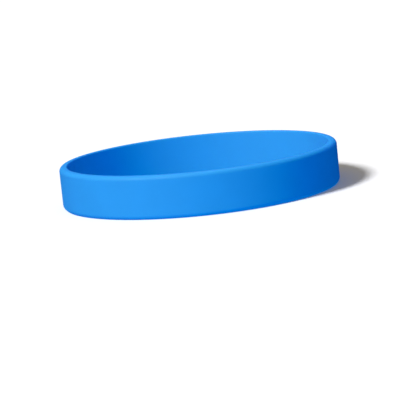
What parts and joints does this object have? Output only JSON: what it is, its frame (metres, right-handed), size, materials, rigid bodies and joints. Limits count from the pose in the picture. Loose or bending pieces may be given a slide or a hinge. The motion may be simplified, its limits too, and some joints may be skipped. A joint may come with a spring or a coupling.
{
  "type": "silicone wristband",
  "caption": "Plain closed loop of moulded silicone rubber, worn round the wrist: a flat wall with rounded outer edges, lying on its side.",
  "frame": {"origin": "middle of the lower edge ring, on the loop's axis, where the band rests when it lies on its side", "axes": "+Z along the loop's axis, from the lower edge ring to the upper one; X and Y are any two directions across it, because the loop is round"},
  "size_m": [0.0682, 0.0682, 0.0103],
  "materials": {
    "silicone": "moulded silicone rubber, solid blue, with an even satin surface"
  },
  "bodies": {
    "root": {"band": "silicone"}
  },
  "joints": []
}
